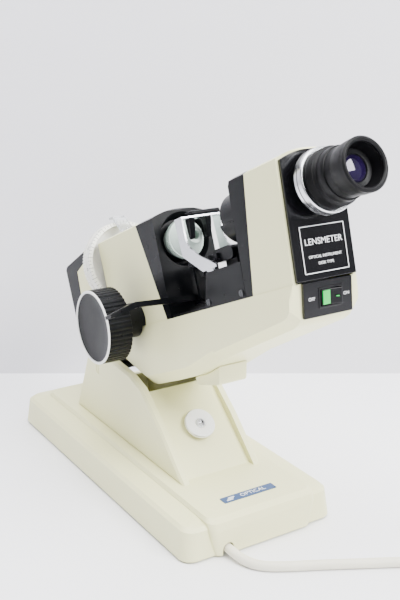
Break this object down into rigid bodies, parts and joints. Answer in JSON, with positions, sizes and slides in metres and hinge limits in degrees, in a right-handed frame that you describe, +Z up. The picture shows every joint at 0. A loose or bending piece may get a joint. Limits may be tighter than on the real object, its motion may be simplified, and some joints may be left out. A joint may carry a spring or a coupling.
{
  "type": "lensmeter",
  "caption": "Manual desk lensmeter: tilting optical head with eyepiece, lens stop, axis wheel and power knob on a flanged weighted stand with a mains cord.",
  "frame": {"origin": "on the table, under the middle of the base", "axes": "+X to the user's right, -Y towards the user's eye, +Z up"},
  "size_m": [0.3178, 0.4999, 0.3465],
  "materials": {
    "ivory_plastic": "satin moulded",
    "black_plastic": "satin textured",
    "panel_black": "semi-gloss",
    "white_plastic": "satin",
    "scale_white": "printed scale",
    "nozzle_plastic": "satin",
    "steel": "turned",
    "aluminium": "satin anodised",
    "grey_metal": "matt",
    "bronze": "sintered",
    "rubber": "matt",
    "glass": "coated",
    "filter_glass": "clear",
    "clear_plastic": "clear",
    "lamination": "varnished",
    "winding": "taped",
    "label_blue": "printed",
    "switch_green": "gloss",
    "cord_pvc": "soft satin"
  },
  "bodies": {
    "base": {"base_shell": "ivory_plastic", "base_plate": "grey_metal", "rubber_mat": "rubber", "base_screws": "steel", "transformer_core": "lamination", "transformer_winding": "winding", "terminal_block": "white_plastic", "base_label": "label_blue", "clamp_plate": "grey_metal", "hinge_bushes": "bronze", "hinge_plugs": "ivory_plastic", "mains_cord": "cord_pvc", "cord_coil": "cord_pvc", "mains_plug": "cord_pvc"},
    "clamp_knob": {"tilt_knob": "white_plastic", "clamp_stud": "steel"},
    "head": {"hinge_pin": "steel", "hinge_bracket": "grey_metal", "lower_tray": "ivory_plastic", "stop_block": "ivory_plastic", "optical_bed": "aluminium", "rear_housing": "ivory_plastic", "rear_cap": "black_plastic", "front_bezel": "black_plastic", "nozzle": "nozzle_plastic", "collimator_tube": "black_plastic", "collimator_lens": "glass", "guide_rods": "steel", "shaft_bushes": "bronze", "knob_boss": "black_plastic", "wheel_collar": "aluminium", "axis_index": "clear_plastic", "lamp_socket": "white_plastic", "lamp_bulb": "glass", "filter_slide": "filter_glass", "saddle_cover": "black_plastic", "saddle_screws": "steel", "marker_block": "black_plastic", "scope_housing": "ivory_plastic", "scope_frame": "black_plastic", "objective_hood": "black_plastic", "objective_lens": "glass", "front_panel": "panel_black", "switch_panel": "panel_black", "scope_tube": "black_plastic"},
    "knob": {"power_knob": "black_plastic", "knob_ring": "white_plastic", "knob_cap": "grey_metal", "pinion_shaft": "steel"},
    "carriage": {"target_carriage": "aluminium"},
    "target": {"target_disc": "glass"},
    "wheel": {"axis_wheel": "scale_white"},
    "table": {"lens_table": "black_plastic"},
    "lever": {"table_lever": "black_plastic"},
    "clamp": {"lens_clamp": "aluminium", "clamp_pads": "black_plastic"},
    "marker": {"marker_pins": "black_plastic"},
    "rocker": {"rocker_switch": "switch_green"},
    "reticle": {"reticle_ring": "aluminium"},
    "eyepiece": {"dioptre_ring": "rubber"}
  },
  "joints": [
    {"name": "head_tilt", "type": "hinge", "parent": "base", "child": "head", "pos_m": [0, 0.0529, 0.088], "axis": [-1, 0, 0], "range_deg": [-2, 30]},
    {"name": "clamp_turn", "type": "hinge", "parent": "base", "child": "clamp_knob", "pos_m": [0, -0.065, 0.0652], "axis": [0, -0.6428, 0.766], "range_deg": [0, 170]},
    {"name": "power_turn", "type": "hinge", "parent": "head", "child": "knob", "pos_m": [0, -0.00699, 0.15397], "axis": [1, 0, 0], "range_deg": [-180, 180]},
    {"name": "target_slide", "type": "slide", "parent": "head", "child": "carriage", "axis": [0, 0.9184, -0.3955], "range_m": [-0.0189, 0.0189]},
    {"name": "target_spin", "type": "hinge", "parent": "carriage", "child": "target", "pos_m": [0, 0.02696, 0.20195], "axis": [0, 0.9184, -0.3955], "continuous": true},
    {"name": "wheel_turn", "type": "hinge", "parent": "head", "child": "wheel", "pos_m": [0, 0.06829, 0.18416], "axis": [0, 0.9184, -0.3955], "continuous": true},
    {"name": "lever_turn", "type": "hinge", "parent": "head", "child": "lever", "pos_m": [0, -0.08086, 0.19177], "axis": [0, -0.9184, 0.3955], "range_deg": [-25, 15]},
    {"name": "table_lift", "type": "slide", "parent": "head", "child": "table", "axis": [0, 0.3955, 0.9184], "range_m": [-0.0085, 0.0055]},
    {"name": "clamp_slide", "type": "slide", "parent": "head", "child": "clamp", "axis": [0, -0.9184, 0.3955], "range_m": [0, 0.016], "stiffness_N_per_m": 80, "springref_m": -0.012},
    {"name": "marker_swing", "type": "hinge", "parent": "head", "child": "marker", "pos_m": [0, -0.11267, 0.23421], "axis": [1, 0, 0], "range_deg": [0, 60]},
    {"name": "rocker_press", "type": "hinge", "parent": "head", "child": "rocker", "pos_m": [0.0015, -0.23778, 0.23182], "axis": [0, 0.1166, 0.9932], "range_deg": [0, 12]},
    {"name": "reticle_turn", "type": "hinge", "parent": "head", "child": "reticle", "pos_m": [0, -0.22745, 0.31152], "axis": [0, 0.9184, -0.3955], "range_deg": [-90, 90]},
    {"name": "dioptre_turn", "type": "hinge", "parent": "head", "child": "eyepiece", "pos_m": [0, -0.24398, 0.31864], "axis": [0, 0.9184, -0.3955], "range_deg": [-120, 120]}
  ],
  "couplings": [
    {"joint": "target_slide", "follows": "power_turn", "m_per_rad": -0.006},
    {"joint": "target_spin", "follows": "wheel_turn", "ratio": 1},
    {"joint": "table_lift", "follows": "lever_turn", "m_per_rad": 0.016}
  ]
}
